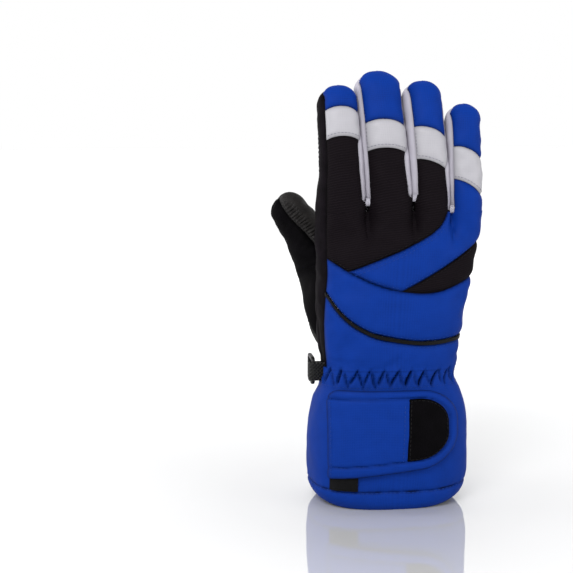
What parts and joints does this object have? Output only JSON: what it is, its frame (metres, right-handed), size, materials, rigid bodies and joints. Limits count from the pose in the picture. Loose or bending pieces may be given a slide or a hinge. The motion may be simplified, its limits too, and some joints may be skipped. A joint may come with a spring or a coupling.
{
  "type": "ski glove",
  "caption": "Insulated ski glove with a gathered wrist, a cuff closed by a hook-and-loop flap, bending fingers, an opening thumb and a pairing clip.",
  "frame": {"origin": "centre of the cuff's mouth, on the plane that the hem stands on", "axes": "+Z from the cuff to the fingertips, -Y out of the back of the hand, +Y out of the palm, -X the thumb side"},
  "size_m": [0.1289, 0.0957, 0.2782],
  "materials": {
    "blue_nylon": "woven nylon, slight sheen",
    "black_twill": "fine twill, matt",
    "black_jersey": "smooth jersey, matt",
    "grid_leather": "synthetic leather with a fine grid, matt",
    "embossed_leather": "synthetic leather with embossed scales, semi-gloss",
    "white_band": "smooth coated fabric, satin",
    "white_fourchette": "smooth coated fabric, satin",
    "insulation": "fibre wadding",
    "membrane": "thin film",
    "liner": "brushed fleece",
    "cuff_lining": "plain weave",
    "loop_tape": "looped pile",
    "hook_tape": "hooks",
    "elastic": "ribbed",
    "piping": "corded, matt",
    "webbing": "coarse weave",
    "clip_plastic": "moulded, satin"
  },
  "bodies": {
    "hand": {"cuff_shell": "blue_nylon", "cuff_hem": "blue_nylon", "cuff_lining": "cuff_lining", "cuff_loop_tape": "loop_tape", "gathered_wrist": "blue_nylon", "wrist_elastic": "elastic", "lower_back_panel": "blue_nylon", "back_piping": "piping", "mid_back_panel": "blue_nylon", "diagonal_band": "blue_nylon", "side_triangle": "black_twill", "knuckle_panel": "black_twill", "thumb_side_strip": "black_jersey", "little_side_strip": "black_jersey", "palm_panel": "grid_leather", "palm_reinforcement": "embossed_leather", "hand_insulation": "insulation", "hand_membrane": "membrane", "hand_liner": "liner", "clip_webbing": "webbing"},
    "index_finger": {"index_tip_panel": "blue_nylon", "index_white_band": "white_band", "index_back_panel": "black_twill", "index_fourchette": "white_fourchette", "index_side_strip": "black_jersey", "index_palm_panel": "embossed_leather", "index_insulation": "insulation", "index_liner": "liner"},
    "middle_finger": {"middle_tip_panel": "blue_nylon", "middle_white_band": "white_band", "middle_back_panel": "black_twill", "middle_fourchettes": "white_fourchette", "middle_palm_panel": "embossed_leather", "middle_insulation": "insulation", "middle_liner": "liner"},
    "ring_finger": {"ring_tip_panel": "blue_nylon", "ring_white_band": "white_band", "ring_back_panel": "black_twill", "ring_fourchettes": "white_fourchette", "ring_palm_panel": "embossed_leather", "ring_insulation": "insulation", "ring_liner": "liner"},
    "little_finger": {"little_tip_panel": "blue_nylon", "little_white_band": "white_band", "little_back_panel": "blue_nylon", "little_fourchette": "white_fourchette", "little_outer_strip": "black_jersey", "little_palm_panel": "embossed_leather", "little_insulation": "insulation", "little_liner": "liner"},
    "thumb": {"thumb_back_panel": "black_jersey", "thumb_palm_panel": "grid_leather", "thumb_insulation": "insulation", "thumb_liner": "liner"},
    "flap": {"wrist_flap": "blue_nylon", "flap_grip_patch": "black_twill", "flap_hook_tape": "hook_tape"},
    "clip": {"clip_frame": "clip_plastic"},
    "gate": {"clip_gate": "clip_plastic"}
  },
  "joints": [
    {"name": "index_bend", "type": "hinge", "parent": "hand", "child": "index_finger", "pos_m": [-0.0299, 0.0146, 0.1922], "axis": [-1, 0, 0], "range_deg": [0, 45], "stiffness_Nm_per_rad": 0.08},
    {"name": "middle_bend", "type": "hinge", "parent": "hand", "child": "middle_finger", "pos_m": [0.0007, 0.0146, 0.1922], "axis": [-1, 0, 0], "range_deg": [0, 60], "stiffness_Nm_per_rad": 0.08},
    {"name": "ring_bend", "type": "hinge", "parent": "hand", "child": "ring_finger", "pos_m": [0.0282, 0.0141, 0.1922], "axis": [-1, 0, 0], "range_deg": [0, 60], "stiffness_Nm_per_rad": 0.08},
    {"name": "little_bend", "type": "hinge", "parent": "hand", "child": "little_finger", "pos_m": [0.0514, 0.0131, 0.1922], "axis": [-1, 0, 0], "range_deg": [0, 60], "stiffness_Nm_per_rad": 0.08},
    {"name": "thumb_spread", "type": "hinge", "parent": "hand", "child": "thumb", "pos_m": [-0.04, 0.02, 0.098], "axis": [0, -1, 0], "range_deg": [0, 25], "stiffness_Nm_per_rad": 0.1},
    {"name": "flap_open", "type": "hinge", "parent": "hand", "child": "flap", "pos_m": [-0.0393, -0.0316, 0.049], "axis": [0, 0, -1], "range_deg": [0, 110]},
    {"name": "clip_swing", "type": "hinge", "parent": "hand", "child": "clip", "pos_m": [-0.0484, -0.003, 0.0858], "axis": [0, 0, 1], "range_deg": [0, 170]},
    {"name": "gate_press", "type": "hinge", "parent": "clip", "child": "gate", "pos_m": [-0.0484, 0.0119, 0.0882], "axis": [-1, 0, 0], "range_deg": [0, 18], "stiffness_Nm_per_rad": 0.004}
  ]
}
